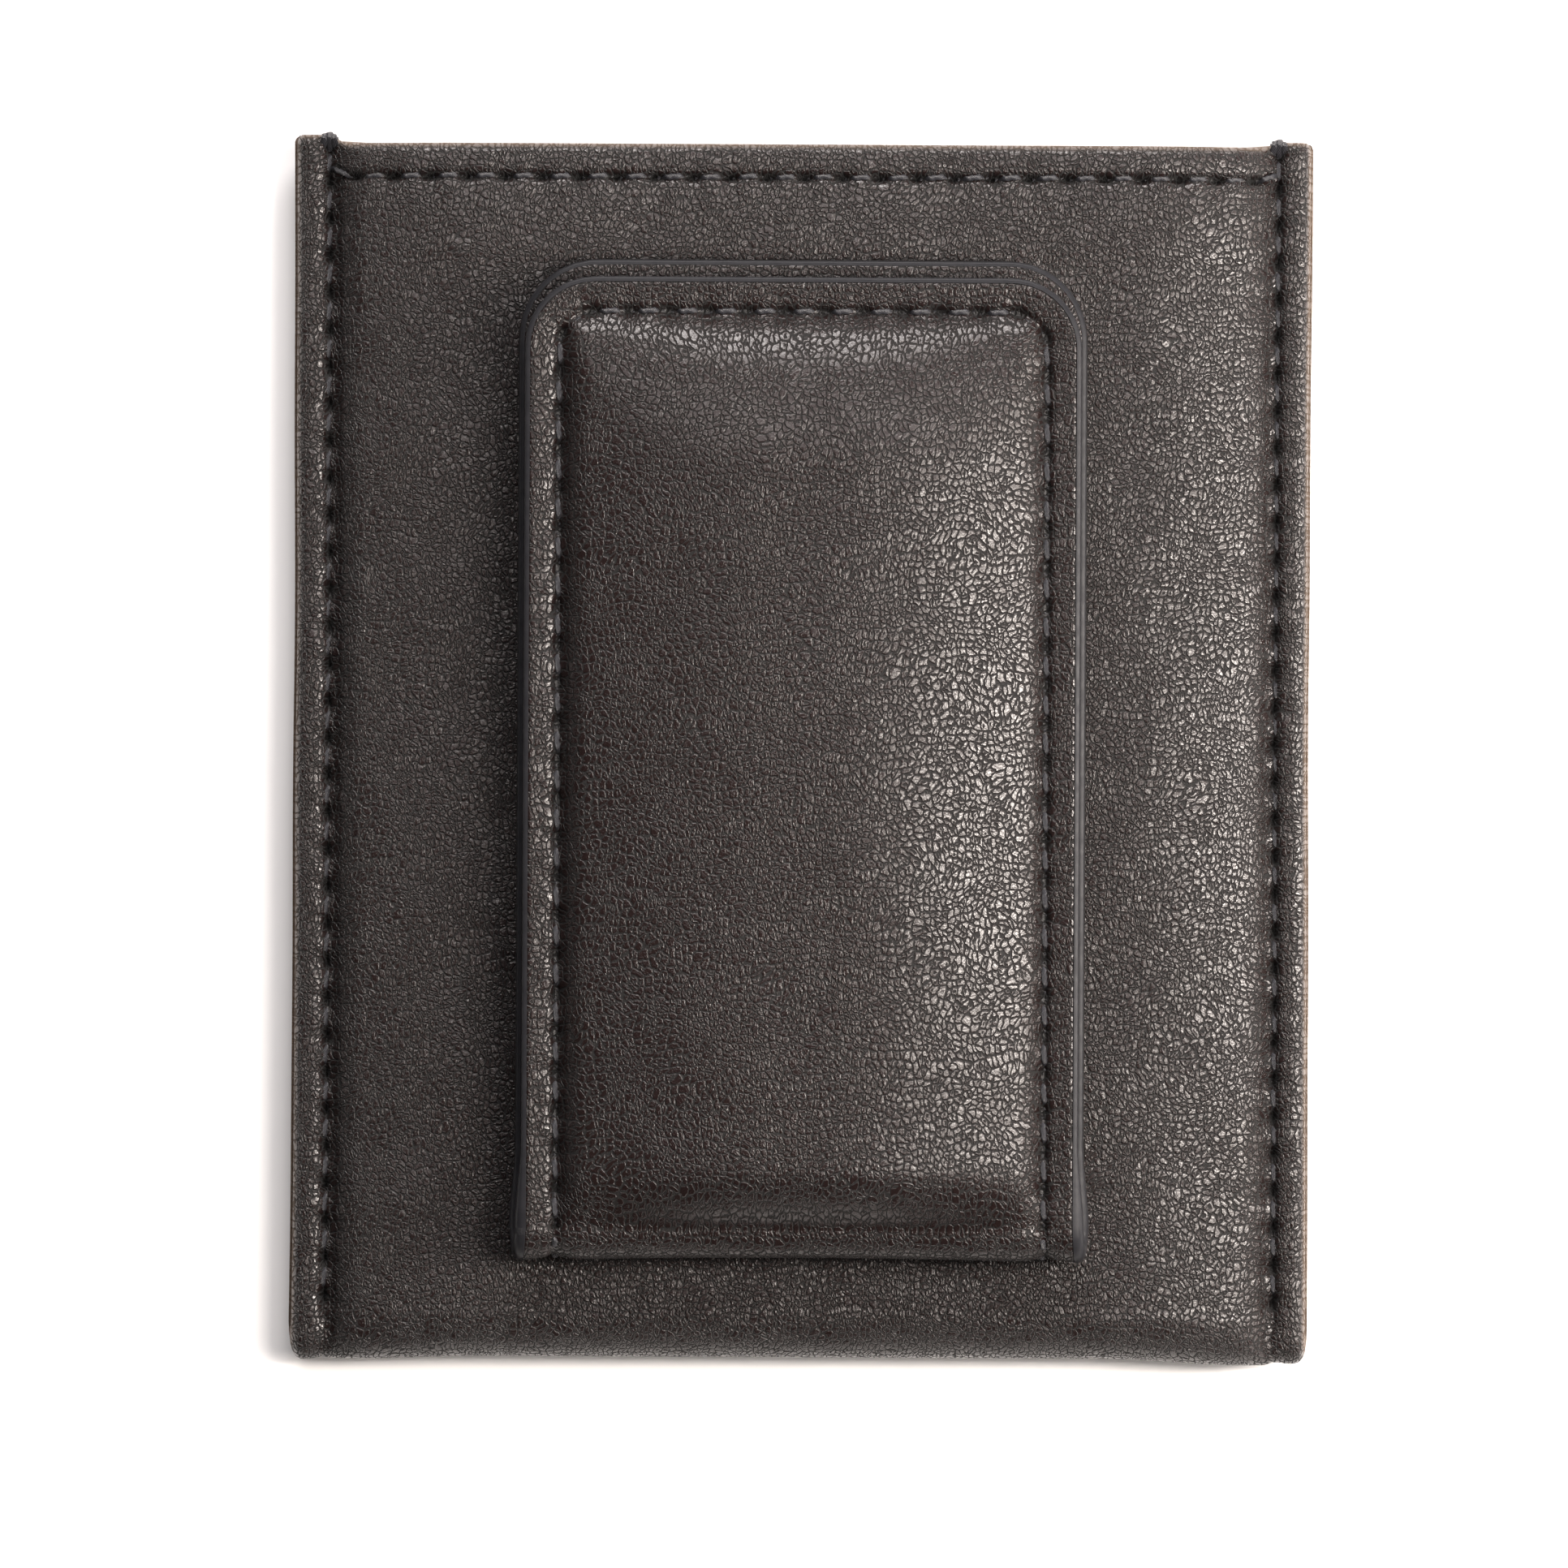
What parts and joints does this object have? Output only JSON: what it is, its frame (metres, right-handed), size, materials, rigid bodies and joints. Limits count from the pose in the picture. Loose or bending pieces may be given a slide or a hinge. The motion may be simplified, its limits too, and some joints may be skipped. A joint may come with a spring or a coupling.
{
  "type": "leather money clip card case",
  "caption": "Flat leather card case with a folded magnetic leather clip for banknotes sewn to its face.",
  "frame": {"origin": "middle of the footprint, on the surface that the case's back lies on", "axes": "+Y from the folded bottom edge to the pocket's mouth, +Z out of the face that carries the clip, +X across it"},
  "size_m": [0.083, 0.0994, 0.0163],
  "materials": {
    "leather": "semi-gloss fine pebble grain",
    "lining_fabric": "matt twill",
    "board": "matt fibre board",
    "magnet": "nickel plated",
    "foam": "matt foam",
    "thread": "waxed thread"
  },
  "bodies": {
    "case": {"case_shell": "leather", "pocket_lining": "lining_fabric", "front_board": "board", "back_board": "board", "left_seam_thread_front": "thread", "left_seam_thread_back": "thread", "right_seam_thread_front": "thread", "right_seam_thread_back": "thread", "front_hem_thread_outside": "thread", "front_hem_thread_inside": "thread", "back_hem_thread_outside": "thread", "back_hem_thread_inside": "thread", "base_cover": "leather", "base_lining": "leather", "base_core_board": "board", "base_magnet_left": "magnet", "base_magnet_right": "magnet", "base_thread_outer": "thread", "base_thread_bill_face": "thread", "fold_cover": "leather", "fold_lining": "leather"},
    "flap": {"flap_cover": "leather", "flap_lining": "leather", "flap_core_board": "board", "flap_magnet_left": "magnet", "flap_magnet_right": "magnet", "flap_foam_pad": "foam", "flap_thread_outer": "thread", "flap_thread_bill_face": "thread"}
  },
  "joints": [
    {"name": "flap_fold_hinge", "type": "hinge", "parent": "case", "child": "flap", "pos_m": [0, -0.04135, 0.0109], "axis": [1, 0, 0], "range_deg": [0, 150], "deforming": ["fold_cover", "fold_lining"]}
  ]
}
